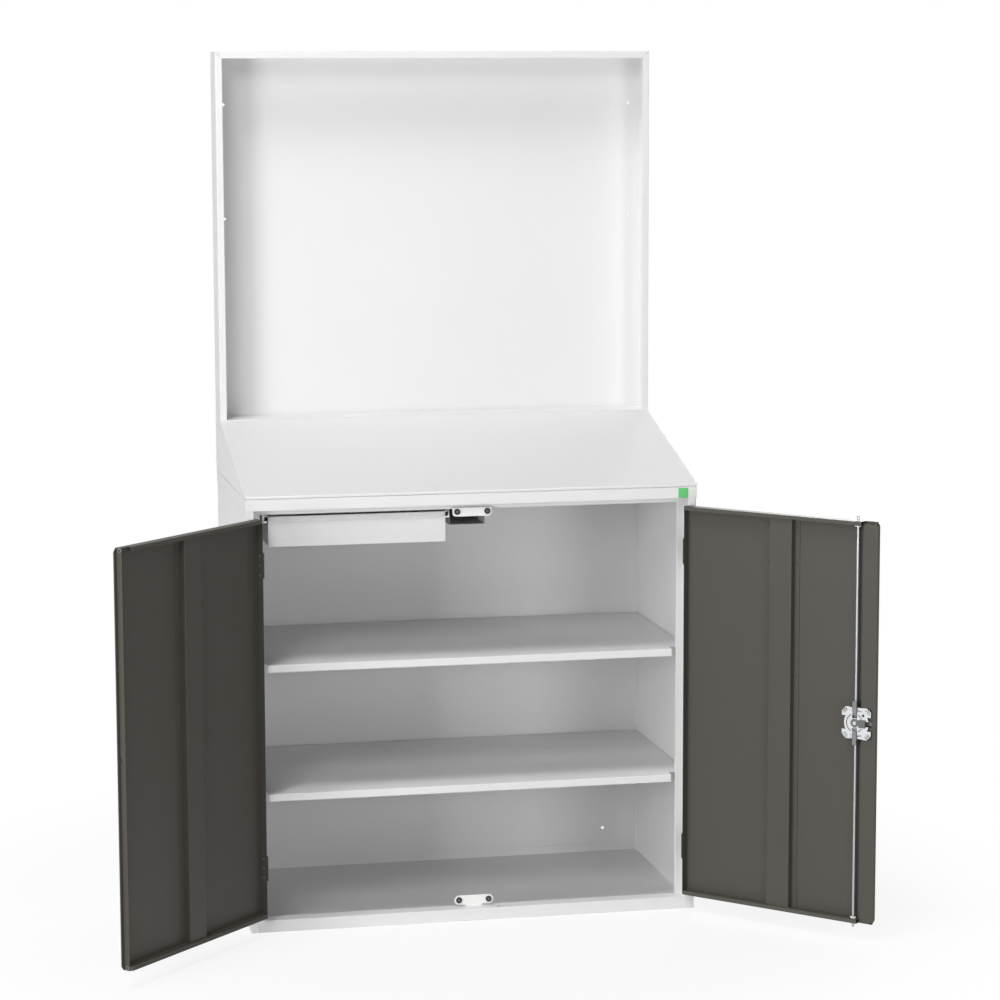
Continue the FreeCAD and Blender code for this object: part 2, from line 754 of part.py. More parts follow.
save("lock_cover", swung(cover, 1.0))


def pinion_outline():
    """Involute teeth, three points to a flank."""
    base_r = pitch_r * math.cos(pressure)
    roll = math.tan(pressure) - pressure
    half_tooth = (math.pi * module / 2.0 - backlash / 2.0) / 2.0 / pitch_r
    flank = [(root_r, half_tooth + roll)]
    for i in range(3):
        r = base_r + (tip_r - base_r) * i / 2.0
        a = math.acos(base_r / r)
        flank.append((r, half_tooth + roll - (math.tan(a) - a)))
    points = []
    for k in range(teeth):
        c = 2.0 * math.pi * k / teeth
        for r, a in [(r, -a) for r, a in flank] + flank[::-1]:
            points.append((lock_x + r * math.cos(c + a), lock_z + r * math.sin(c + a)))
    return points


pinion = union([slab_y(pinion_outline(), tongue_d - 0.1, cover_d - 0.3),
                disc(lock_x, lock_z, hub_r - 1.0, sheet, tongue_d),
                disc(lock_x, lock_z, hub_r, cover_d - 0.35, cover_d + 3.0)])
socket = block(lock_x - square, lock_x + square, 0.0, cover_d + 5.0, lock_z - square, lock_z + square)
save("lock_pinion", swung(cut(pinion, [socket]), 1.0))


def yoke(d0, stem_end):
    """Toothed frame round the pinion, drawn for the upper rod: teeth on the left, travel upwards."""
    pitch = math.pi * module
    lean = math.tan(pressure)
    room = tip_r + 0.6
    top = room + 0.7
    low = -(room + throw + 0.8)
    root = -(pitch_r + dedendum)
    tip = -(pitch_r - addendum)
    at_pitch = pitch / 4.0 - backlash / 4.0
    at_root = at_pitch + dedendum * lean
    at_tip = at_pitch - addendum * lean
    window = [(room, low), (room, top), (root, top)]
    for k in range(2, -7, -1):
        z = (k - 0.5) * pitch
        if z + at_root < top - 0.3 and z - at_root > low + 0.3:
            window = window + [(root, z + at_root), (tip, z + at_tip), (tip, z - at_tip), (root, z - at_root)]
    window.append((root, low))
    frame = block(lock_x + root - yoke_bar, lock_x + room + 5.0, d0, d0 + plate,
                  lock_z + low - 5.0, lock_z + top + yoke_bar)
    frame = frame.cut(slab_y([(lock_x + x, lock_z + z) for x, z in window], d0 - 1.0, d0 + plate + 1.0))
    stem = block(lock_x - stem_half, lock_x + stem_half, d0, d0 + plate,
                 lock_z + top + yoke_bar - 1.0, lock_z + stem_end)
    return frame.fuse(stem)


def spun(shape, angle):
    """Turned about the spindle; a positive angle takes X towards Z."""
    t = shape.copy()
    t.rotate(V(lock_x, 0, lock_z), V(0, -1, 0), angle)
    return t


def rod_end(d0, rod_length):
    """Yoke, cranked strap over the cover and round rod, drawn for the upper rod."""
    end = case_r + stem_reach
    crank = lobe_at + lobe_r
    strap = [block(lock_x - stem_half, lock_x + stem_half, strap_d, strap_d + strap_thick,
                   lock_z + strap_start, lock_z + end),
             block(lock_x - stem_half, lock_x + stem_half, d0, strap_d + strap_thick,
                   lock_z + crank, lock_z + end)]
    rod = post(lock_x, rod_d, rod_r, lock_z + crank + 2.0, lock_z + rod_length)
    return union([yoke(d0, end), rod] + strap)


save("upper_rod", swung(rod_end(upper_d, rod_top - lock_z), 1.0))
save("lower_rod", swung(spun(rod_end(lower_d, lock_z - rod_low), 180.0), 1.0))

# The tongue carries a ribbed block that slides over the cover

tongue_tip = lock_back - tongue_in
block_half = 9.0
block_near = 11.0
block_far = 26.0
riser_far = lock_back - lip_edge - throw - layer
riser_near = pitch_r + dedendum + yoke_bar + 2.0 * layer
block_high = strap_d + 2.0 * strap_thick
block_low = lock_z - block_half
block_top = lock_z + block_half
slider = [spun(yoke(tongue_d, tongue_tip), 90.0),
          block(lock_x - riser_far, lock_x - riser_near, tongue_d, block_high,
                lock_z - stem_half, lock_z + stem_half),
          block(lock_x - block_far, lock_x - block_near, strap_d, block_high, block_low, block_top)]
rib_pitch = 3.6
rib = 1.6
for k in range(4):
    x = lock_x - block_far + rib + rib_pitch * k
    slider.append(block(x, x + rib, block_high - 0.3, block_high + 0.6, block_low, block_top))
save("latch_tongue", swung(union(slider), 1.0))

# Flanged bushes in the door's top and bottom flanges

bush = union([post(lock_x, rod_d, bush_r, door_top - sheet - bush_high, door_top - sheet),
              post(lock_x, rod_d, bush_neck, door_top - 2.0 * sheet, door_top + sheet / 2.0),
              post(lock_x, rod_d, bush_r, door_top, door_top + sheet)])
bore = post(lock_x, rod_d, rod_r + fit, door_top - sheet - bush_high - 1.0, door_top + sheet + 1.0)
bush = cut(bush, [bore])
low_bush = bush.mirror(V(0, 0, (door_top + door_bottom) / 2.0), V(0, 0, 1))
save("rod_guides", swung([bush, low_bush], 1.0))

# Turn handle on the outer face, with its key plug

rose = block(lock_x - rose_half, lock_x + rose_half, -rose_thick, 0.0,
             lock_z - rose_high / 2.0, lock_z + rose_high / 2.0)
rose = rose.makeChamfer(1.4, [e for e in rose.Edges if e.CenterOfMass.y < at(-rose_thick / 2.0 - 0.1)])
save("handle_plate", swung(cut(rose, [disc(lock_x, lock_z, 6.0, -rose_thick - 1.0, 1.0)]), 1.0))

bar = block(lock_x - grip_wide / 2.0, lock_x + grip_wide / 2.0, grip_out, grip_out + grip_thick,
            lock_z - grip_half, lock_z + grip_half)
bar = bar.makeChamfer(3.0, [e for e in bar.Edges if e.BoundBox.ZLength > grip_half])
boss = disc(lock_x, lock_z, boss_r, grip_out, -rose_thick - 0.4)
socket_d = grip_out + plug_depth + 0.4
grip = cut(union([bar, boss]), [
    disc(lock_x, lock_z, plug_r + fit, grip_out - 1.0, socket_d),
    block(lock_x - square, lock_x + square, socket_d - 0.1, 0.0, lock_z - square, lock_z + square),
])
save("handle_grip", swung(grip, 1.0))
save("spindle", swung(block(lock_x - square, lock_x + square, socket_d + 0.4, cover_d + 4.5,
                            lock_z - square, lock_z + square), 1.0))
plug = disc(lock_x, lock_z, plug_r, grip_out - 0.5, grip_out + plug_depth)
plug = plug.cut(block(lock_x - 0.8, lock_x + 0.8, grip_out - 1.0, grip_out + 8.0, lock_z - 4.0, lock_z + 4.0))
save("key_plug", swung(plug, 1.0))
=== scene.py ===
"""Finishes, small fasteners and studio for a sheet steel lectern cabinet."""

import json
import math

import bmesh
import bpy
from bpy.props import FloatProperty, FloatVectorProperty, PointerProperty
from mathutils import Matrix, Vector


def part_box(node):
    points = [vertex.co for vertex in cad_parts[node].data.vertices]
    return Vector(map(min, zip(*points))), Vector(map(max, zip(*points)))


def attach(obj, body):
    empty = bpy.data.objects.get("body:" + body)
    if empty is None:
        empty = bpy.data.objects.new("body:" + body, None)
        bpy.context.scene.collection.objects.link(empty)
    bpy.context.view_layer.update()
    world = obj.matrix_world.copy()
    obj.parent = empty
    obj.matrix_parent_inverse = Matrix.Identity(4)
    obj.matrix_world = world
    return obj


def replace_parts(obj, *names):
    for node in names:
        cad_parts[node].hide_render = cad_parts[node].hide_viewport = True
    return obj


bl_info = {
    "name": "Lectern cabinet",
    "version": (1, 0, 0),
    "blender": (4, 5, 0),
    "location": "View3D > Sidebar > Lectern",
    "description": "Dresses the lectern cabinet with its finishes, fasteners and studio",
    "category": "Object",
}

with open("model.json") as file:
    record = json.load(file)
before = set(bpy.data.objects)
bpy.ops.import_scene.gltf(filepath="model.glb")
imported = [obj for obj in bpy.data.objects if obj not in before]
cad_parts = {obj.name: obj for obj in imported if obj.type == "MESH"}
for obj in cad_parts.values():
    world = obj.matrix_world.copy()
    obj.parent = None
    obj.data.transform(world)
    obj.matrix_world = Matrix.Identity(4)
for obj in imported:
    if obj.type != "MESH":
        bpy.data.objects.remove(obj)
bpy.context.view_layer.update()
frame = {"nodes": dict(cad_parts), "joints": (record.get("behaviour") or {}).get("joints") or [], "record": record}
NODES = frame["nodes"]
JOINTS = {joint["name"]: joint for joint in frame["joints"]}
SLOT_COLOURS = {row["slot"]: row["base_color"] for row in frame["record"]["materials"]}
NODE_SLOTS = {row["node"]: row["material_slot"] for row in frame["record"]["subparts"]}

MM = 0.001
SHEET = 1.2 * MM
HINGE_LENGTH = 65.0 * MM
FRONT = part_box("top_cap")[0].y
HANDS = ("left", "right")
FORWARD = (0, -1, 0)
BACKWARD = (0, 1, 0)
RIGHTWARD = (1, 0, 0)
SHARP = math.radians(38.0)
WHITE = (1.0, 1.0, 1.0, 1.0)


# Settings that a user would change


def colour_setting(name, description, default):
    """Colour property with the usual limits."""
    return FloatVectorProperty(name=name, description=description, default=default, subtype="COLOR",
                               size=3, min=0.0, max=1.0)


def length_setting(name, description, default):
    """Length property in metres."""
    return FloatProperty(name=name, description=description, default=default, unit="LENGTH",
                         min=0.0, precision=5)


def share_setting(name, description, default):
    """Property between nothing and all."""
    return FloatProperty(name=name, description=description, default=default, subtype="FACTOR",
                         min=0.0, max=1.0)


def power_setting(name, description, default):
    """Power of a lamp in watts."""
    return FloatProperty(name=name, description=description, default=default, subtype="POWER", min=0.0)


def angle_setting(name, description, degrees):
    """Angle property, with its default in degrees."""
    return FloatProperty(name=name, description=description, default=math.radians(degrees), subtype="ANGLE")


def place_setting(name, description, default):
    """Point in the cabinet's frame."""
    return FloatVectorProperty(name=name, description=description, default=default,
                               subtype="TRANSLATION", size=3)


class LecternPaint(bpy.types.PropertyGroup):
    """Colours and grain of the finishes."""

    light: colour_setting("Light paint", "Powder coat of the carcass, desk and panel", (0.745, 0.745, 0.745))
    dark: colour_setting("Dark paint", "Powder coat of the doors and hinges", (0.0552, 0.0503, 0.0412))
    # The hanger's grey is painted shade: light paint in the shade under the top, given as a darker grey
    hanger: colour_setting("Hanger paint", "Grey paint of the drawer's hanger", (0.40, 0.40, 0.40))
    zinc: colour_setting("Zinc", "Plating of the rods, runners and fasteners", SLOT_COLOURS["zinc"])
    bright: colour_setting("Casting", "Bright lock case", (0.74, 0.75, 0.76))
    rubber: colour_setting("Rubber", "Door buffers", SLOT_COLOURS["rubber"])
    black: colour_setting("Black plastic", "Turn handle on the outer face", SLOT_COLOURS["black_plastic"])
    white: colour_setting("White plastic", "Rod bushes and desk spacer", SLOT_COLOURS["white_plastic"])
    green: colour_setting("Tag", "Plain tag on the fascia", SLOT_COLOURS["green_plastic"])
    grain: length_setting("Grain", "Size of the powder coat's pebbles", 0.0011)
    edge: length_setting("Edge", "Width of the softened and worn sheet edges", 0.0011)
    light_rough: share_setting("Light roughness", "Roughness of the light powder coat", 0.48)
    dark_rough: share_setting("Dark roughness", "Roughness of the dark powder coat", 0.55)


class LecternFittings(bpy.types.PropertyGroup):
    """Sizes and places of the small fasteners and the thin trim."""

    rivet: length_setting("Rivet radius", "Head of a rivet", 0.0025)
    rivet_rise: length_setting("Rivet height", "Height of a rivet's head", 0.0010)
    rivet_pitch: length_setting("Rivet pitch", "Distance between the rivets of one hinge", 0.0217)
    rivet_depth: length_setting("Rivet depth", "Rivets behind the door's outer face", 0.0108)
    # The dull strips on the lock cover are painted shade of its grooves and valleys
    rib: length_setting("Rib width", "Slanted rib at a corner of the lock cover", 0.0026)
    rib_rise: length_setting("Rib height", "Height of a rib on the lock cover", 0.0012)
    shade_track_rise: length_setting("Track height", "Dull tracks on the lock cover", 0.0002)
    weld: length_setting("Weld radius", "Spot weld on a door stiffener", 0.0032)
    weld_pitch: length_setting("Weld pitch", "Distance between spot welds", 0.085)
    buffer: length_setting("Buffer radius", "Rubber door buffer", 0.0070)
    eyelet: length_setting("Eyelet radius", "Ring at the corners of the left door", 0.0052)
    eyelet_depth: length_setting("Eyelet depth", "Rings behind the door's outer face", 0.0106)
    ledge: length_setting("Ledge height", "Ledge along the bottom of a door", 0.0092)
    ledge_depth: length_setting("Ledge depth", "Front of the ledge behind the door's outer face", 0.0222)
    lip_depth: length_setting("Lip depth", "Lip of the right door behind its outer face", 0.011)
    overlap: length_setting("Overlap", "Strip of the left door that covers the right one", 0.0080)


class LecternStage(bpy.types.PropertyGroup):
    """Camera, light and floor."""

    place: place_setting("Camera place", "Where the camera stands", (-1.3638, -7.0933, 1.9372))
    turn: angle_setting("Turn", "Camera turned to the right of straight on", 11.791)
    tilt: angle_setting("Tilt", "Camera tilted down", 7.802)
    roll: angle_setting("Roll", "Camera rolled about its own line of sight", -0.159)
    lens: FloatProperty(name="Lens", description="Focal length in millimetres on a 36 mm sensor",
                        default=110.92)
    ambient: FloatProperty(name="Ambient", description="Even light from all around", default=0.02, min=0.0)
    aim: place_setting("Aim", "Point that the lamps look at", (0.0, 0.0, 1.0))
    high: power_setting("High light", "Soft light high on the left", 202.0)
    high_place: place_setting("High light's place", "Where the high light hangs", (-2.01, -1.69, 6.39))
    side: power_setting("Side light", "Soft light above the front", 84.0)
    side_place: place_setting("Side light's place", "Where the side light hangs", (-2.39, -4.49, 4.18))
    low: power_setting("Low light", "Soft light at the left, level with the desk", 148.0)
    low_place: place_setting("Low light's place", "Where the low light stands", (-4.59, -3.85, 1.21))
    right: power_setting("Right light", "Weak light at the right, level with the desk", 67.0)
    right_place: place_setting("Right light's place", "Where the right light stands", (1.85, -5.70, 1.21))
    back: power_setting("Back light", "Soft light behind on the right", 190.0)
    back_place: place_setting("Back light's place", "Where the back light stands", (3.1, 4.5, 2.4))
    broad: length_setting("Broad lamp", "Side of the high, side and back lamps", 1.8)
    narrow: length_setting("Narrow lamp", "Side of the low and right lamps", 1.6)
    floor: share_setting("Floor", "Paleness of the floor", 0.86)
    glow: share_setting("Glow", "White that the camera sees over the floor by the cabinet", 0.84)
    shadow: length_setting("Shadow", "How far from the middle the floor starts to fade to white", 0.75)
    fade: length_setting("Fade", "How far from the middle the floor is wholly white", 1.5)


# Shader sums


class Wire:
    """A shader socket that takes part in Python sums; each sum adds a Math node."""

    def __init__(self, tree, socket):
        self.tree = tree
        self.socket = socket

    @classmethod
    def node(cls, tree, kind, settings, sockets, output=0):
        """Add a node: its settings first, then the values or links of its sockets."""
        made = tree.nodes.new(kind)
        for name, value in settings.items():
            setattr(made, name, value)
        for name, value in sockets.items():
            if isinstance(value, Wire):
                tree.links.new(value.socket, made.inputs[name])
            else:
                made.inputs[name].default_value = value
        if not made.outputs:
            return None
        return cls(tree, made.outputs[output])

    def sum(self, operation, first, second):
        """Math node on two values."""
        return Wire.node(self.tree, "ShaderNodeMath", {"operation": operation}, {0: first, 1: second})

    def __add__(self, other):
        return self.sum("ADD", self, other)

    def __radd__(self, other):
        return self.sum("ADD", other, self)

    def __sub__(self, other):
        return self.sum("SUBTRACT", self, other)

    def __rsub__(self, other):
        return self.sum("SUBTRACT", other, self)

    def __mul__(self, other):
        return self.sum("MULTIPLY", self, other)

    def __rmul__(self, other):
        return self.sum("MULTIPLY", other, self)

    def within(self):
        """Held between 0 and 1."""
        return Wire.node(self.tree, "ShaderNodeClamp", {}, {"Value": self})


def noise(tree, spot, scale, detail):
    """Cloudy value around one half."""
    sockets = {"Vector": spot, "Scale": scale, "Detail": detail}
    return Wire.node(tree, "ShaderNodeTexNoise", {}, sockets, "Fac")


def stretched(tree, spot, scale):
    """Coordinates squeezed along each axis."""
    return Wire.node(tree, "ShaderNodeVectorMath", {"operation": "MULTIPLY"}, {0: spot, 1: scale})


def drawn_lines(tree, spot):
    """Fine lines along the height, as drawing leaves them."""
    return noise(tree, stretched(tree, spot, (900.0, 900.0, 30.0)), scale=1.0, detail=3.0)


def blend_colour(tree, share, first, second):
    """Colour between two others."""
    settings = {"data_type": "RGBA", "clamp_factor": True}
    return Wire.node(tree, "ShaderNodeMix", settings, {0: share, 6: first, 7: second}, 2)


def tint(colour, factor):
    """Colour times a factor, with its alpha."""
    return tuple(min(1.0, c * factor) for c in colour) + (1.0,)


def open_tree(name):
    """New material, its empty tree and the object coordinates in it."""
    material = bpy.data.materials.new(name)
    material.use_nodes = True
    tree = material.node_tree
    tree.nodes.clear()
    spot = Wire.node(tree, "ShaderNodeTexCoord", {}, {}, "Object")
    return material, tree, spot


def close_tree(tree, sockets):
    """Principled shader and output."""
    shader = Wire.node(tree, "ShaderNodeBsdfPrincipled", {}, sockets)
    Wire.node(tree, "ShaderNodeOutputMaterial", {}, {"Surface": shader})


def soft_edge(tree, width):
    """Normal rounded over the edges, and how far it leans from the flat face."""
    rounded = Wire.node(tree, "ShaderNodeBevel", {"samples": 4}, {"Radius": width})
    flat = Wire.node(tree, "ShaderNodeNewGeometry", {}, {}, "True Normal")
    straight = Wire.node(tree, "ShaderNodeVectorMath", {"operation": "DOT_PRODUCT"}, {0: rounded, 1: flat},
                         "Value")
    return rounded, (4.0 * (1.0 - straight)).within()


def relief(tree, height, strength, depth, normal):
    """Bump of a given depth in metres over a normal."""
    sockets = {"Strength": strength, "Distance": depth, "Height": height, "Normal": normal}
    return Wire.node(tree, "ShaderNodeBump", {}, sockets)


# Finishes


def powder_coat(name, colour, paint, rough, wear):
    """Pebbled paint that drifts a little in shade and is thinner along the edges."""
    material, tree, spot = open_tree(name)
    rounded, leaning = soft_edge(tree, paint.edge)
    drift = noise(tree, spot, scale=2.3, detail=3.0)
    handling = noise(tree, spot, scale=14.0, detail=4.0)
    pebbles = noise(tree, spot, scale=1.0 / paint.grain, detail=2.0)
    specks = noise(tree, spot, scale=420.0, detail=1.0)
    spots = ((specks - 0.66) * 5.0).within()
    shade = blend_colour(tree, drift, tint(colour, 0.975), tint(colour, 1.02))
    shade = blend_colour(tree, spots * 0.25, shade, tint(colour, 0.86))
    shade = blend_colour(tree, leaning * handling * wear, shade, tint(colour, 1.25))
    close_tree(tree, {
        "Base Color": shade,
        "Roughness": (rough + 0.16 * (pebbles - 0.5) + 0.10 * (handling - 0.5)).within(),
        "Specular IOR Level": 0.42,
        "Normal": relief(tree, pebbles, strength=0.22, depth=0.12 * MM, normal=rounded),
    })
    return material


def zinc_plate(name, colour, paint, rough):
    """Plating with faint flowers, drawn along its length."""
    material, tree, spot = open_tree(name)
    rounded, leaning = soft_edge(tree, paint.edge * 0.6)
    drawn = drawn_lines(tree, spot)
    flowers = Wire.node(tree, "ShaderNodeTexVoronoi", {}, {"Vector": spot, "Scale": 420.0}, "Distance")
    dull = noise(tree, spot, scale=55.0, detail=3.0)
    shade = blend_colour(tree, flowers, tint(colour, 1.06), tint(colour, 0.92))
    warm = (1.04 * colour[0], colour[1], 0.93 * colour[2])
    shade = blend_colour(tree, dull * 0.5, shade, tint(warm, 1.0))
    shade = blend_colour(tree, leaning * 0.4, shade, tint(colour, 1.18))
    close_tree(tree, {
        "Base Color": shade,
        "Metallic": 1.0,
        "Roughness": (rough + 0.16 * dull + 0.08 * drawn).within(),
        "Normal": relief(tree, drawn, strength=0.10, depth=0.06 * MM, normal=rounded),
    })
    return material


def rod_plate(name, colour, paint, middle):
    """Bright round rods whose flattened ends, round the height of the lock, are rougher and painted darker:
    painted shade that stands in for their dull reflection.
    """
    flat_half = 52.5 * MM
    blur = 2.5 * MM
    material, tree, spot = open_tree(name)
    rounded, leaning = soft_edge(tree, paint.edge * 0.6)
    height = Wire.node(tree, "ShaderNodeSeparateXYZ", {}, {"Vector": spot}, "Z")
    away = Wire.node(tree, "ShaderNodeMath", {"operation": "ABSOLUTE"}, {0: height - middle})
    # Mask of the flattened ends near the lock; it makes them rougher and carries their painted shade
    forged_ends_shade = ((flat_half - away) * (1.0 / blur)).within()
    drawn = drawn_lines(tree, spot)
    dull = noise(tree, spot, scale=55.0, detail=3.0)
    shade = blend_colour(tree, dull, tint(colour, 1.04), tint(colour, 0.94))
    # Painted shade: the flattened ends are darkened to stand in for the dull reflection they show
    shade = blend_colour(tree, forged_ends_shade, shade, tint(colour, 0.42))
    shade = blend_colour(tree, leaning * 0.4, shade, tint(colour, 1.1))
    close_tree(tree, {
        "Base Color": shade,
        "Metallic": 1.0,
        "Roughness": (0.30 + 0.06 * dull + 0.04 * drawn + 0.20 * forged_ends_shade).within(),
        "Normal": relief(tree, drawn, strength=0.05, depth=0.06 * MM, normal=rounded),
    })
    return material


def bright_casting(name, colour, paint):
    """Polished casting with finger marks, and soft edges darkened as painted shade."""
    material, tree, spot = open_tree(name)
    rounded, leaning = soft_edge(tree, paint.edge * 0.7)
    smears = noise(tree, spot, scale=90.0, detail=4.0)
    skin = noise(tree, spot, scale=700.0, detail=2.0)
    shade = blend_colour(tree, smears, tint(colour, 1.04), tint(colour, 0.90))
    # Painted shade: the soft edges are darkened so that the grooves and gaps of the lock read as shaded lines
    shade = blend_colour(tree, leaning, shade, tint(colour, 0.35))
    close_tree(tree, {
        "Base Color": shade,
        "Metallic": 1.0,
        "Roughness": (0.10 + 0.16 * smears).within(),
        "Normal": relief(tree, skin, strength=0.06, depth=0.05 * MM, normal=rounded),
    })
    return material


def moulding(name, colour, paint, rough, pebble):
    """Moulded plastic or rubber with a spark grained skin and paler rubbed edges."""
    material, tree, spot = open_tree(name)
    rounded, leaning = soft_edge(tree, paint.edge)
    skin = noise(tree, spot, scale=1.0 / pebble, detail=3.0)
    rub = noise(tree, spot, scale=60.0, detail=3.0)
    shade = blend_colour(tree, rub, tint(colour, 0.92), tint(colour, 1.08))
    shade = blend_colour(tree, leaning * rub * 0.7, shade, tint([c + 0.03 for c in colour], 1.2))
    close_tree(tree, {
        "Base Color": shade,
        "Roughness": (rough + 0.18 * (skin - 0.5) + 0.12 * (rub - 0.5)).within(),
        "Normal": relief(tree, skin, strength=0.30, depth=0.1 * MM, normal=rounded),
    })
    return material


def make_finishes(scene):
    """All the object's finishes by the record's slot, and further kinds of paint and plating, some of which carry
    painted shade.
    """
    paint = scene.lectern_paint
    lock_z = JOINTS["handle_turn"]["pos_m"][2]
    dull = [0.26 * c for c in paint.zinc]
    drawn = [0.72 * c for c in paint.zinc]
    return {
        "light_paint": powder_coat("light powder coat", paint.light, paint, paint.light_rough, wear=0.5),
        "dark_paint": powder_coat("dark powder coat", paint.dark, paint, paint.dark_rough, wear=0.9),
        # Darker grey for the hanger: painted shade
        "hanger_shade_paint": powder_coat("hanger paint", paint.hanger, paint, paint.dark_rough, wear=0.3),
        "zinc": zinc_plate("zinc plate", paint.zinc, paint, rough=0.24),
        "dull_zinc": zinc_plate("dull zinc", dull, paint, rough=0.50),
        "rod_zinc": rod_plate("rod plate", drawn, paint, middle=lock_z),
        "bright_metal": bright_casting("bright casting", paint.bright, paint),
        "rubber": moulding("buffer rubber", paint.rubber, paint, rough=0.78, pebble=0.6 * MM),
        "black_plastic": moulding("black plastic", paint.black, paint, rough=0.50, pebble=0.5 * MM),
        "white_plastic": moulding("white plastic", paint.white, paint, rough=0.45, pebble=0.5 * MM),
        "green_plastic": moulding("green tag", paint.green, paint, rough=0.38, pebble=0.8 * MM),
    }


FINISHES = {}


def coat(*names, finish=None):
    """Give CAD nodes the finish of their slot, or another."""
    for name in names:
        materials = NODES[name].data.materials
        materials.clear()
        materials.append(FINISHES[finish or NODE_SLOTS[name]])


# Shapes of the small pieces


def cross_edge(angle):
    """Outline of a cross recess, as a share of its arm."""
    turn = (angle + math.pi / 4.0) % (math.pi / 2.0) - math.pi / 4.0
    arm = 1.0 / math.cos(turn)
    side = math.tan(math.pi / 12.0) / max(abs(math.sin(turn)), 0.01)
    return min(arm, side)


def band(bm, low, high):
    """Faces between two rings of corners; a corner that comes twice leaves a triangle."""
    count = len(low)
    for k in range(count):
        n = (k + 1) % count
        corners = dict.fromkeys((low[k], low[n], high[n], high[k]))
        bm.faces.new(list(corners))


def closed_skin(bm, rings):
    """Skin over rings of corners, with a flat face at each end."""
    for low, high in zip(rings, rings[1:]):
        band(bm, low, high)
    bm.faces.new(rings[0])
    bm.faces.new(rings[-1])


def turned(bm, place, profile, closed=False, count=24):
    """Lathe shape about Z: rings of radius and height, and outline where not round; radius 0 is a point."""
    rings = []
    for radius, height, *outline in profile:
        if radius == 0.0:
            rings.append([bm.verts.new(place @ Vector((0.0, 0.0, height)))] * count)
            continue
        ring = []
        for k in range(count):
            a = 2.0 * math.pi * k / count
            r = radius * outline[0](a) if outline else radius
            ring.append(bm.verts.new(place @ Vector((r * math.cos(a), r * math.sin(a), height))))
        rings.append(ring)
    if closed:
        rings.append(rings[0])
    for low, high in zip(rings, rings[1:]):
        band(bm, low, high)


def bar(bm, place, length, width, height):
    """Bar along X with sloped sides, standing on its face towards Y."""
    slope = 0.3 * height
    rings = []
    for inset, rise in ((0.0, 0.0), (0.0, height - slope), (slope, height)):
        x = length / 2.0 - inset
        z = width / 2.0 - inset
        corners = ((-x, rise, -z), (x, rise, -z), (x, rise, z), (-x, rise, z))
        rings.append([bm.verts.new(place @ Vector(corner)) for corner in corners])
    closed_skin(bm, rings)


def arc_band(bm, place, inner, outer, start, end, height, steps=20):
    """Band along an arc, standing on its face towards Y; its degrees run from X to Z."""
    corners = ((inner, 0.0), (inner, height), (outer, height), (outer, 0.0))
    rings = []
    for k in range(steps + 1):
        a = math.radians(start + (end - start) * k / steps)
        points = [place @ Vector((r * math.cos(a), y, r * math.sin(a))) for r, y in corners]
        rings.append([bm.verts.new(point) for point in points])
    closed_skin(bm, rings)


def sheet_run(bm, place, stations):
    """Folded sheet along X: each station is an x and an outline of depths and heights."""
    rings = []
    for x, outline in stations:
        rings.append([bm.verts.new(place @ Vector((x, FRONT + d, z))) for d, z in outline])
    closed_skin(bm, rings)


def piece(name, bm, slot, body, finish=None):
    """Finish a mesh and let it ride on a body."""
    bmesh.ops.recalc_face_normals(bm, faces=bm.faces)
    mesh = bpy.data.meshes.new(name)
    bm.to_mesh(mesh)
    bm.free()
    if not mesh.polygons:
        raise RuntimeError(name + " has no faces")
    for face in mesh.polygons:
        face.use_smooth = True
    mesh.set_sharp_from_angle(angle=SHARP)
    made = bpy.data.objects.new(name, mesh)
    bpy.context.scene.collection.objects.link(made)
    mesh.materials.append(FINISHES[finish or slot])
    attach(made, body)
    return made


def rivet_profile(r, h):
    """Pop rivet head with its drawn stem sunk in the middle."""
    return [(0.0, 0.62 * h), (0.26 * r, 0.55 * h), (0.34 * r, 0.95 * h), (0.55 * r, h), (0.85 * r, 0.7 * h),
            (r, 0.2 * h), (r, 0.0), (0.0, 0.0)]


def screw_profile(r, h):
    """Pan head with a cross recess."""
    return [(0.0, 0.35 * h), (0.55 * r, 0.45 * h, cross_edge), (0.62 * r, h, cross_edge), (0.74 * r, h),
            (0.92 * r, 0.75 * h), (r, 0.35 * h), (r, 0.0), (0.0, 0.0)]


def weld_profile(r, h):
    """Spot weld: a shallow crater with a raised rim."""
    return [(0.0, 0.2 * h), (0.55 * r, 0.3 * h), (0.75 * r, h), (r, 0.1 * h), (r, -0.2 * h), (0.0, -0.2 * h)]


def washer_profile(inner, outer, h):
    """Flat ring with a bevelled rim."""
    return [(inner, 0.0), (inner, h), (outer - 0.5 * h, h), (outer, 0.5 * h), (outer, 0.0)]


def mark_profile(r, h):
    """Shallow dot."""
    return [(0.0, h), (0.9 * r, h), (r, 0.0), (0.0, 0.0)]


def eyelet_profile(r, h):
    """Rolled ring."""
    return [(0.5 * r, 0.0), (0.5 * r, 0.85 * h), (0.6 * r, h), (0.82 * r, h), (r, 0.7 * h), (r, 0.0)]


def plug_profile(r, h):
    """Flat plug in an eyelet."""
    return [(0.0, h), (r, h), (r, 0.0), (0.0, 0.0)]


def sleeve_profile(bore, tube, collar, neck, end):
    """Tube with a bevelled collar from its neck to its end."""
    bevel = 0.4 * MM
    return [(bore, 0.0), (bore, end), (collar - bevel, end), (collar, end - bevel), (collar, neck),
            (tube, neck), (tube, 0.0)]


def buffer_profile(r, h, well):
    """Rubber buffer with a rounded rim and a well for its screw."""
    return [(0.0, well), (0.52 * r, well), (0.56 * r, h - 0.4 * MM), (0.62 * r, h), (0.86 * r, h),
            (0.97 * r, h - 0.9 * MM), (r, h - 2.0 * MM), (r, 0.0), (0.0, 0.0)]


# Places on the object


def facing(point, way):
    """Matrix at a point whose Z looks along way."""
    return Matrix.Translation(point) @ Vector(way).to_track_quat("Z", "Y").to_matrix().to_4x4()


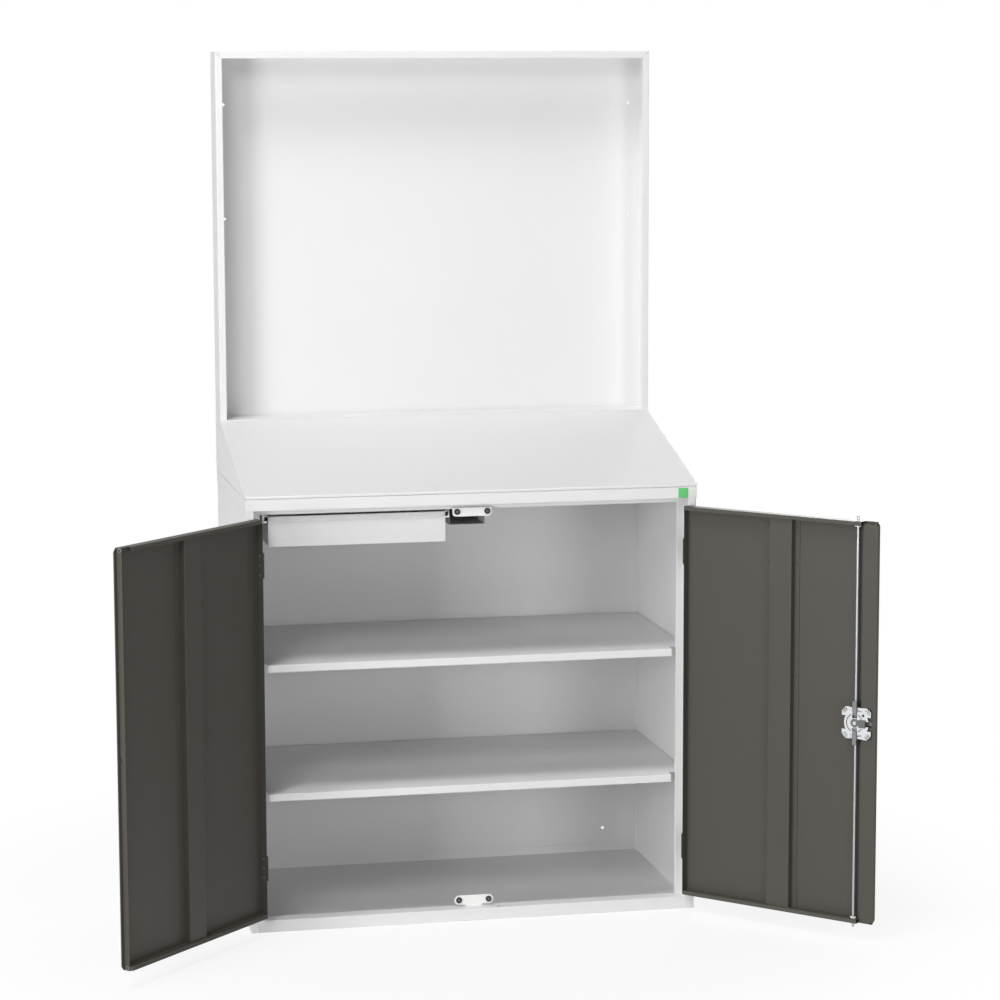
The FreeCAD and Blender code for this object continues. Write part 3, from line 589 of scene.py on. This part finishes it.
def swung_open(hand):
    """Matrix from a closed door to its open rest; hand is left or right."""
    hinge = JOINTS[hand + "_door_hinge"]
    pivot = Matrix.Translation(hinge["pos_m"])
    swing = Matrix.Rotation(math.radians(-hinge["range_deg"][0]), 4, Vector(hinge["axis"]))
    return pivot @ swing @ pivot.inverted()


def closed_box(node, hand):
    """Corners of a door's node as they are with the door closed."""
    back = swung_open(hand).inverted()
    points = [back @ v.co for v in NODES[node].data.vertices]
    low = Vector([min(p[i] for p in points) for i in range(3)])
    high = Vector([max(p[i] for p in points) for i in range(3)])
    return low, high


# One operator for each group of pieces


class LecternOperator:
    """Shared settings of the cabinet's operators."""

    bl_options = {"REGISTER", "UNDO"}


class LECTERN_OT_finishes(LecternOperator, bpy.types.Operator):
    """Make the paints, platings and plastics"""

    bl_idname = "lectern.finishes"
    bl_label = "Finishes"

    def execute(self, context):
        FINISHES.update(make_finishes(context.scene))
        return {"FINISHED"}


class LECTERN_OT_carcass(LecternOperator, bpy.types.Operator):
    """Paint the carcass and its shelves, and rivet the floor to the back"""

    bl_idname = "lectern.carcass"
    bl_label = "Carcass"

    def execute(self, context):
        fittings = context.scene.lectern_fittings
        coat("left_side", "right_side", "carcass_back", "floor_tray", "floor_stiffener", "top_cap",
             "top_stop_rail", "upper_shelf", "lower_shelf", "shelf_clips")
        low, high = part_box("carcass_back")
        count = 7
        edge = 70.0 * MM
        row = low.z + 11.0 * MM
        run = high.x - low.x - 2.0 * edge
        bm = bmesh.new()
        for k in range(count):
            point = Vector((low.x + edge + run * k / (count - 1), high.y, row))
            turned(bm, facing(point, BACKWARD), rivet_profile(fittings.rivet, fittings.rivet_rise))
        piece("back_rivets", bm, "zinc", "carcass")
        return {"FINISHED"}


class LECTERN_OT_desk(LecternOperator, bpy.types.Operator):
    """Paint the sloped desk with its riser, spacer and tall panel"""

    bl_idname = "lectern.desk"
    bl_label = "Desk and panel"

    def execute(self, context):
        coat("lectern_desk", "lectern_riser", "lectern_spacer", "back_panel", "tag")
        return {"FINISHED"}


class LECTERN_OT_drawer(LecternOperator, bpy.types.Operator):
    """Paint the drawer and its hangers, with a darker grey on the hanger as painted shade, and plate the runners
    """

    bl_idname = "lectern.drawer"
    bl_label = "Drawer"

    def execute(self, context):
        coat("drawer_box", "drawer_front", "drawer_bracket", "runner_fixed", "runner_middle", "runner_inner")
        # The hanger's darker grey is painted shade
        coat("drawer_hanger", finish="hanger_shade_paint")
        return {"FINISHED"}


class LECTERN_OT_doors(LecternOperator, bpy.types.Operator):
    """Paint the doors, spot weld their stiffeners, set the corner eyelets and add the bottom ledges"""

    bl_idname = "lectern.doors"
    bl_label = "Doors"

    gap = 0.2 * MM
    ledge_back = SHEET + 0.1 * MM
    ledge_end = 4.0 * MM

    def execute(self, context):
        fittings = context.scene.lectern_fittings
        coat("left_door", "right_door", "left_stiffener", "right_stiffener")
        for hand in HANDS:
            self.weld(hand, fittings)
        self.eyelets(fittings)
        self.left_ledge(fittings)
        self.right_ledge(fittings)
        return {"FINISHED"}

    def weld(self, hand, fittings):
        """Two rows of welds along the feet of a stiffener."""
        opening = swung_open(hand)
        low, high = closed_box(hand + "_stiffener", hand)
        foot = 6.5 * MM
        end = 20.0 * MM
        rise = 0.3 * MM
        face = low.y + SHEET
        run = high.z - low.z - 2.0 * end
        count = int(run / fittings.weld_pitch)
        bm = bmesh.new()
        for x in (low.x + foot, high.x - foot):
            for k in range(count + 1):
                point = Vector((x, face, low.z + end + run * k / count))
                turned(bm, opening @ facing(point, BACKWARD), weld_profile(fittings.weld, rise), count=16)
        piece(hand + "_door_welds", bm, "dark_paint", hand + "_door")

    def eyelets(self, fittings):
        """Rings and their plugs on the free edge of the left door, at the top and the bottom."""
        opening = swung_open("left")
        low, high = closed_box("left_door", "left")
        r = fittings.eyelet
        rise = 0.7 * MM
        inset = r + 0.4 * MM
        wall = high.x - fittings.overlap
        rings = bmesh.new()
        plugs = bmesh.new()
        for z in (high.z - inset, low.z + inset):
            place = opening @ facing(Vector((wall, FRONT + fittings.eyelet_depth, z)), RIGHTWARD)
            turned(rings, place, eyelet_profile(r, rise), closed=True)
            turned(plugs, place, plug_profile(0.49 * r, 0.3 * rise))
        piece("corner_eyelets", rings, "zinc", "left_door", finish="dull_zinc")
        piece("corner_plugs", plugs, "rubber", "left_door")

    def ledge_outline(self, fittings, low, back, front):
        """Ledge with a rounded fold and a thin skin down over the lip of the door."""
        top = low + fittings.ledge
        bend = 1.6 * MM
        skin = 0.2 * MM
        inside = top - 2.6 * MM
        steps = 3
        outline = [(back, top - SHEET), (back, top)]
        for k in range(steps + 1):
            a = math.pi / 2.0 * k / steps
            outline.append((front - bend + bend * math.sin(a), top - bend + bend * math.cos(a)))
        outline += [(front, low), (front - skin, low), (front - skin, inside), (front - SHEET, inside + skin),
                    (front - SHEET, top - SHEET)]
        return outline

    def left_ledge(self, fittings):
        """Ledge along the bottom of the left door, mitred at the free edge."""
        low, high = closed_box("left_door", "left")
        front = fittings.ledge_depth
        mitre = 6.0 * MM
        wall = high.x - fittings.overlap - SHEET - self.gap
        whole = self.ledge_outline(fittings, low.z, self.ledge_back, front)
        short = self.ledge_outline(fittings, low.z, self.ledge_back, front - mitre)
        ledge = bmesh.new()
        sheet_run(ledge, swung_open("left"),
                  [(low.x + self.ledge_end, whole), (wall - mitre, whole), (wall, short)])
        piece("left_door_ledge", ledge, "dark_paint", "left_door")

    def right_ledge(self, fittings):
        """Ledge of the right door, open round the lower rod's bush, and the foot of the lip beside it."""
        opening = swung_open("right")
        low, high = closed_box("right_door", "right")
        guide_low, guide_high = closed_box("rod_guides", "right")
        bush = (guide_low + guide_high) / 2.0
        room = 7.6 * MM
        lip_end = low.x + 37.0 * MM
        front = fittings.ledge_depth
        whole = self.ledge_outline(fittings, low.z, self.ledge_back, front)
        strip = self.ledge_outline(fittings, low.z, bush.y - FRONT + room, front)
        ledge = bmesh.new()
        for near, far, outline in ((lip_end + self.gap, bush.x - room, whole),
                                   (bush.x - room, bush.x + room, strip),
                                   (bush.x + room, high.x - self.ledge_end, whole)):
            sheet_run(ledge, opening, [(near, outline), (far, outline)])
        foot = self.foot_outline(fittings, low.z)
        sheet_run(ledge, opening, [(low.x + SHEET, foot), (lip_end, foot)])
        piece("right_door_ledge", ledge, "dark_paint", "right_door")

    def foot_outline(self, fittings, low):
        """Foot of the right door's lip, bevelled below."""
        front = fittings.lip_depth
        back = front - SHEET
        top = low + 5.1 * MM
        bevel = 0.6 * MM
        return [(back, low), (back, top), (front, top), (front, low + bevel), (front - bevel, low)]


class LECTERN_OT_hinges(LecternOperator, bpy.types.Operator):
    """Paint the hinge leaves and rivet the left door to its own"""

    bl_idname = "lectern.hinges"
    bl_label = "Hinges"

    def execute(self, context):
        fittings = context.scene.lectern_fittings
        coat("post_leaves", "left_leaves", "right_leaves")
        opening = swung_open("left")
        low, high = closed_box("left_leaves", "left")
        wall = closed_box("left_door", "left")[0].x + SHEET
        half = HINGE_LENGTH / 2.0
        bm = bmesh.new()
        for middle in (low.z + half, high.z - half):
            for k in (-1, 0, 1):
                point = Vector((wall, FRONT + fittings.rivet_depth, middle + k * fittings.rivet_pitch))
                place = opening @ facing(point, RIGHTWARD)
                turned(bm, place, rivet_profile(fittings.rivet, fittings.rivet_rise))
        piece("left_hinge_rivets", bm, "zinc", "left_door", finish="dull_zinc")
        return {"FINISHED"}


class LECTERN_OT_lock(LecternOperator, bpy.types.Operator):
    """Finish the rod lock: bright case, plated rods and tongue, ribs, dull strips of painted shade, sleeves and a
    dark spindle dot of painted shade
    """

    bl_idname = "lectern.lock"
    bl_label = "Rod lock"

    def execute(self, context):
        fittings = context.scene.lectern_fittings
        coat("lock_case", "lock_cover", "spindle", "rod_guides")
        coat("lock_pinion", "latch_tongue", finish="dull_zinc")
        coat("upper_rod", "lower_rod", finish="rod_zinc")
        opening = swung_open("right")
        centre = opening.inverted() @ Vector(JOINTS["handle_turn"]["pos_m"])
        self.cover(opening, centre, fittings)
        self.gap_covers(opening, centre)
        self.hub(opening, centre)
        self.sleeves(opening, centre)
        return {"FINISHED"}

    def cover(self, opening, centre, fittings):
        """Ribs, dull strips that paint the shade of grooves, and sight rim on the lock's cover."""
        low, high = closed_box("lock_cover", "right")
        rim_rise = 1.0 * MM
        face = high.y - rim_rise
        ribs = bmesh.new()
        shade_strips = bmesh.new()
        self.webs(ribs, opening, centre, (low, high, face))
        self.corners(ribs, shade_strips, opening, (low, high, face), fittings)
        piece("lock_ribs", ribs, "bright_metal", "right_door")
        hub = opening @ Matrix.Translation((centre.x, face, centre.z))
        inner = 19.6 * MM
        outer = 21.9 * MM
        # Dull arcs round the hub: painted shade of the grooves between the ring and the lobes
        for start, end in ((-64.0, 64.0), (114.0, 146.0), (-146.0, -114.0)):
            arc_band(shade_strips, hub, inner, outer, start, end, fittings.shade_track_rise)
        piece("lock_tracks", shade_strips, "zinc", "right_door", finish="dull_zinc")
        sight = Vector((centre.x - 21.0 * MM, face, centre.z + 19.0 * MM))
        profile = washer_profile(inner=2.0 * MM, outer=3.2 * MM, h=0.3 * MM)
        rim = bmesh.new()
        turned(rim, opening @ facing(sight, BACKWARD), profile, closed=True)
        piece("sight_rim", rim, "rubber", "right_door")

    def webs(self, bm, opening, centre, plate):
        """Webs that join the lobes of the cover above and below, from the rods' slots outward."""
        low, high, face = plate
        middle = (low + high) / 2.0
        slot = 6.2 * MM
        lobe = (high.x - low.x) / 2.0 - 20.4 * MM
        up = 31.0 * MM
        width = 10.0 * MM
        rise = 2.0 * MM
        for sx in (-1.0, 1.0):
            near = centre.x + sx * slot
            far = middle.x + sx * lobe
            for sz in (-1.0, 1.0):
                place = Matrix.Translation(((near + far) / 2.0, face - rise, middle.z + sz * up))
                bar(bm, opening @ place, abs(far - near), width, rise)

    def corners(self, ribs, shade_strips, opening, plate, fittings):
        """Two slanted ribs beside each clipped corner of the cover, with a dull strip between them that paints the
        shade of a valley.
        """
        low, high, face = plate
        middle = (low + high) / 2.0
        half = (high - low) / 2.0
        clip = 9.5 * MM
        rows = ((ribs, 2.4 * MM, 12.4 * MM, fittings.rib, fittings.rib_rise),
                (ribs, 6.6 * MM, 15.0 * MM, fittings.rib, fittings.rib_rise),
                # Dull strip between the ribs: painted shade of the valley
                (shade_strips, 4.6 * MM, 12.8 * MM, 8.6 * MM, fittings.shade_track_rise))
        for sx in (-1.0, 1.0):
            for sz in (-1.0, 1.0):
                lean = Matrix.Rotation(sx * sz * math.pi / 4.0, 4, "Y")
                for bm, inward, length, width, rise in rows:
                    back = clip / 2.0 + inward / math.sqrt(2.0)
                    x = middle.x + sx * (half.x - back)
                    z = middle.z + sz * (half.z - back)
                    bar(bm, opening @ Matrix.Translation((x, face, z)) @ lean, length, width, rise)

    def gap_covers(self, opening, centre):
        """Thin tongues under the door's lip that close the gap beside the lock, clear of the latch."""
        edge = closed_box("right_door", "right")[0].x
        start = edge + 4.0 * MM
        under = FRONT + 8.5 * MM
        latch = 6.8 * MM
        step = 20.8 * MM
        end = 33.8 * MM
        covers = bmesh.new()
        for stop, near, far in ((edge + 22.0 * MM, latch, step), (edge + 13.2 * MM, step, end)):
            for sz in (-1.0, 1.0):
                z = centre.z + sz * (near + far) / 2.0
                place = opening @ Matrix.Translation(((start + stop) / 2.0, under, z))
                bar(covers, place, stop - start, far - near, SHEET)
        piece("lock_gap_covers", covers, "dark_paint", "right_door")

    def hub(self, opening, centre):
        """Dark dot on the spindle's end, painted shade of its centre hole, and dull washer on the pinion round it.
        """
        end = closed_box("spindle", "right")[1].y
        place = opening @ facing(Vector((centre.x, end, centre.z)), BACKWARD)
        # Painted shade: a dark dot stands in for the spindle's centre hole
        mark = bmesh.new()
        turned(mark, place, mark_profile(r=1.3 * MM, h=0.1 * MM))
        piece("spindle_mark", mark, "zinc", "handle", finish="rubber")
        seat = closed_box("lock_pinion", "right")[1].y
        place = opening @ facing(Vector((centre.x, seat, centre.z)), BACKWARD)
        washer = bmesh.new()
        profile = washer_profile(inner=5.1 * MM, outer=9.7 * MM, h=0.6 * MM)
        turned(washer, place, profile, closed=True, count=40)
        piece("hub_washer", washer, "zinc", "handle", finish="dull_zinc")

    def sleeves(self, opening, centre):
        """Collared sleeves of the rod bushes, inside the door."""
        low, high = closed_box("rod_guides", "right")
        depth = (low.y + high.y) / 2.0
        flange = 1.2 * MM
        shank = 4.0 * MM
        seat = flange + SHEET + shank
        profile = sleeve_profile(bore=3.2 * MM, tube=4.6 * MM, collar=7.0 * MM, neck=5.2 * MM, end=7.2 * MM)
        sleeves = bmesh.new()
        for z, way in ((high.z - seat, -1), (low.z + seat, 1)):
            turned(sleeves, opening @ facing(Vector((centre.x, depth, z)), (0, 0, way)), profile, closed=True)
        piece("bush_sleeves", sleeves, "white_plastic", "right_door")


class LECTERN_OT_handle(LecternOperator, bpy.types.Operator):
    """Finish the turn handle on the outer face with its key plug"""

    bl_idname = "lectern.handle"
    bl_label = "Turn handle"

    def execute(self, context):
        coat("handle_plate", "handle_grip", "key_plug")
        return {"FINISHED"}


class LECTERN_OT_stops(LecternOperator, bpy.types.Operator):
    """Paint the stop plates and model the rubber buffers with their screws"""

    bl_idname = "lectern.stops"
    bl_label = "Door stops"

    def execute(self, context):
        fittings = context.scene.lectern_fittings
        coat("top_stop_plate", "bottom_stop_plate", finish="white_plastic")
        coat("buffers")
        low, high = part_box("buffers")
        r = fittings.buffer
        rise = high.y - low.y
        well = rise - 1.8 * MM
        rubber = bmesh.new()
        screws = bmesh.new()
        for z in (low.z + r, high.z - r):
            for x in (low.x + r, high.x - r):
                place = facing(Vector((x, high.y, z)), FORWARD)
                turned(rubber, place, buffer_profile(r, rise, well), count=32)
                head = place @ Matrix.Translation((0.0, 0.0, well))
                turned(screws, head, screw_profile(0.5 * r, h=1.2 * MM))
        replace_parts(piece("door_buffers", rubber, "rubber", "carcass"), "buffers")
        piece("buffer_screws", screws, "zinc", "carcass", finish="dull_zinc")
        return {"FINISHED"}


class LECTERN_OT_stage(LecternOperator, bpy.types.Operator):
    """Set the camera, the soft lights and the pale floor"""

    bl_idname = "lectern.stage"
    bl_label = "Stage"

    def execute(self, context):
        stage = context.scene.lectern_stage
        context.scene.view_settings.view_transform = "Standard"
        self.camera(context, stage)
        for name, size in (("high", stage.broad), ("side", stage.broad), ("low", stage.narrow),
                           ("right", stage.narrow), ("back", stage.broad)):
            self.lamp(context, stage, name, size)
        self.world(context, stage)
        self.floor(context, stage)
        return {"FINISHED"}

    def camera(self, context, stage):
        """Camera with a long lens, at the stage's place."""
        made = bpy.data.objects.new("camera", bpy.data.cameras.new("camera"))
        context.scene.collection.objects.link(made)
        made.data.sensor_width = 36.0
        made.data.lens = stage.lens
        made.data.clip_end = 100.0
        turn = Matrix.Rotation(-stage.turn, 4, "Z")
        tilt = Matrix.Rotation(math.pi / 2.0 - stage.tilt, 4, "X")
        roll = Matrix.Rotation(stage.roll, 4, "Z")
        made.matrix_world = Matrix.Translation(stage.place) @ turn @ tilt @ roll
        context.scene.camera = made

    def lamp(self, context, stage, name, size):
        """Square lamp that looks at the stage's aim."""
        data = bpy.data.lights.new(name + " light", "AREA")
        data.shape = "SQUARE"
        data.size = size
        data.energy = getattr(stage, name)
        made = bpy.data.objects.new(name + " light", data)
        context.scene.collection.objects.link(made)
        place = Vector(getattr(stage, name + "_place"))
        look = (Vector(stage.aim) - place).to_track_quat("-Z", "Y")
        made.matrix_world = Matrix.Translation(place) @ look.to_matrix().to_4x4()

    def seen(self, tree):
        """One where the camera looks, straight or by reflection."""
        path = Wire.node(tree, "ShaderNodeLightPath", {}, {}, "Is Camera Ray")
        glossy = Wire(tree, path.socket.node.outputs["Is Glossy Ray"])
        through = Wire(tree, path.socket.node.outputs["Is Transmission Ray"])
        return (path + glossy + through).within()

    def world(self, context, stage):
        """White where it is seen, and a faint even light on the cabinet."""
        world = bpy.data.worlds.new("studio")
        context.scene.world = world
        world.use_nodes = True
        tree = world.node_tree
        tree.nodes.clear()
        seen = self.seen(tree)
        strength = stage.ambient + (1.0 - stage.ambient) * seen
        sky = Wire.node(tree, "ShaderNodeBackground", {}, {"Color": WHITE, "Strength": strength})
        Wire.node(tree, "ShaderNodeOutputWorld", {}, {"Surface": sky})

    def floor(self, context, stage):
        """Disc of pale floor that keeps the shadow near the cabinet and fades to white."""
        reach = 9.0
        drop = 0.4 * MM
        bm = bmesh.new()
        bmesh.ops.create_circle(bm, cap_ends=True, segments=96, radius=reach)
        mesh = bpy.data.meshes.new("floor")
        bm.to_mesh(mesh)
        bm.free()
        made = bpy.data.objects.new("floor", mesh)
        made.location.z = -drop
        context.scene.collection.objects.link(made)
        material, tree, spot = open_tree("pale floor")
        away = Wire.node(tree, "ShaderNodeVectorMath", {"operation": "LENGTH"}, {0: spot}, "Value")
        fade = Wire.node(tree, "ShaderNodeMapRange", {"interpolation_type": "SMOOTHSTEP"},
                         {"Value": away, "From Min": stage.shadow, "From Max": stage.fade})
        pale = (stage.floor, stage.floor, stage.floor, 1.0)
        matt = Wire.node(tree, "ShaderNodeBsdfDiffuse", {}, {"Color": pale})
        white = Wire.node(tree, "ShaderNodeEmission", {}, {"Color": WHITE, "Strength": 1.0})
        part = Wire.node(tree, "ShaderNodeMixShader", {}, {0: stage.glow, 1: matt, 2: white})
        spread = Wire.node(tree, "ShaderNodeMixShader", {}, {0: fade, 1: part, 2: white})
        mixed = Wire.node(tree, "ShaderNodeMixShader", {}, {0: self.seen(tree), 1: matt, 2: spread})
        Wire.node(tree, "ShaderNodeOutputMaterial", {}, {"Surface": mixed})
        mesh.materials.append(material)


STEPS = (
    LECTERN_OT_finishes,
    LECTERN_OT_carcass,
    LECTERN_OT_desk,
    LECTERN_OT_drawer,
    LECTERN_OT_doors,
    LECTERN_OT_hinges,
    LECTERN_OT_lock,
    LECTERN_OT_handle,
    LECTERN_OT_stops,
    LECTERN_OT_stage,
)


class LECTERN_PT_sidebar(bpy.types.Panel):
    """Lists the steps in the 3D view's sidebar"""

    bl_idname = "LECTERN_PT_sidebar"
    bl_label = "Lectern cabinet"
    bl_space_type = "VIEW_3D"
    bl_region_type = "UI"
    bl_category = "Lectern"

    def draw(self, context):
        for step in STEPS:
            self.layout.operator(step.bl_idname)


GROUPS = {
    "lectern_paint": LecternPaint,
    "lectern_fittings": LecternFittings,
    "lectern_stage": LecternStage,
}


def register():
    """Add the settings, the steps and the panel."""
    for name, group in GROUPS.items():
        bpy.utils.register_class(group)
        setattr(bpy.types.Scene, name, PointerProperty(type=group))
    for step in STEPS:
        bpy.utils.register_class(step)
    bpy.utils.register_class(LECTERN_PT_sidebar)


def unregister():
    """Take the panel, the steps and the settings away."""
    bpy.utils.unregister_class(LECTERN_PT_sidebar)
    for step in reversed(STEPS):
        bpy.utils.unregister_class(step)
    for name, group in GROUPS.items():
        delattr(bpy.types.Scene, name)
        bpy.utils.unregister_class(group)


def main():
    """Register the add-on and run each step."""
    register()
    for step in STEPS:
        group, action = step.bl_idname.split(".")
        getattr(getattr(bpy.ops, group), action)()


if __name__ == "__main__":
    main()
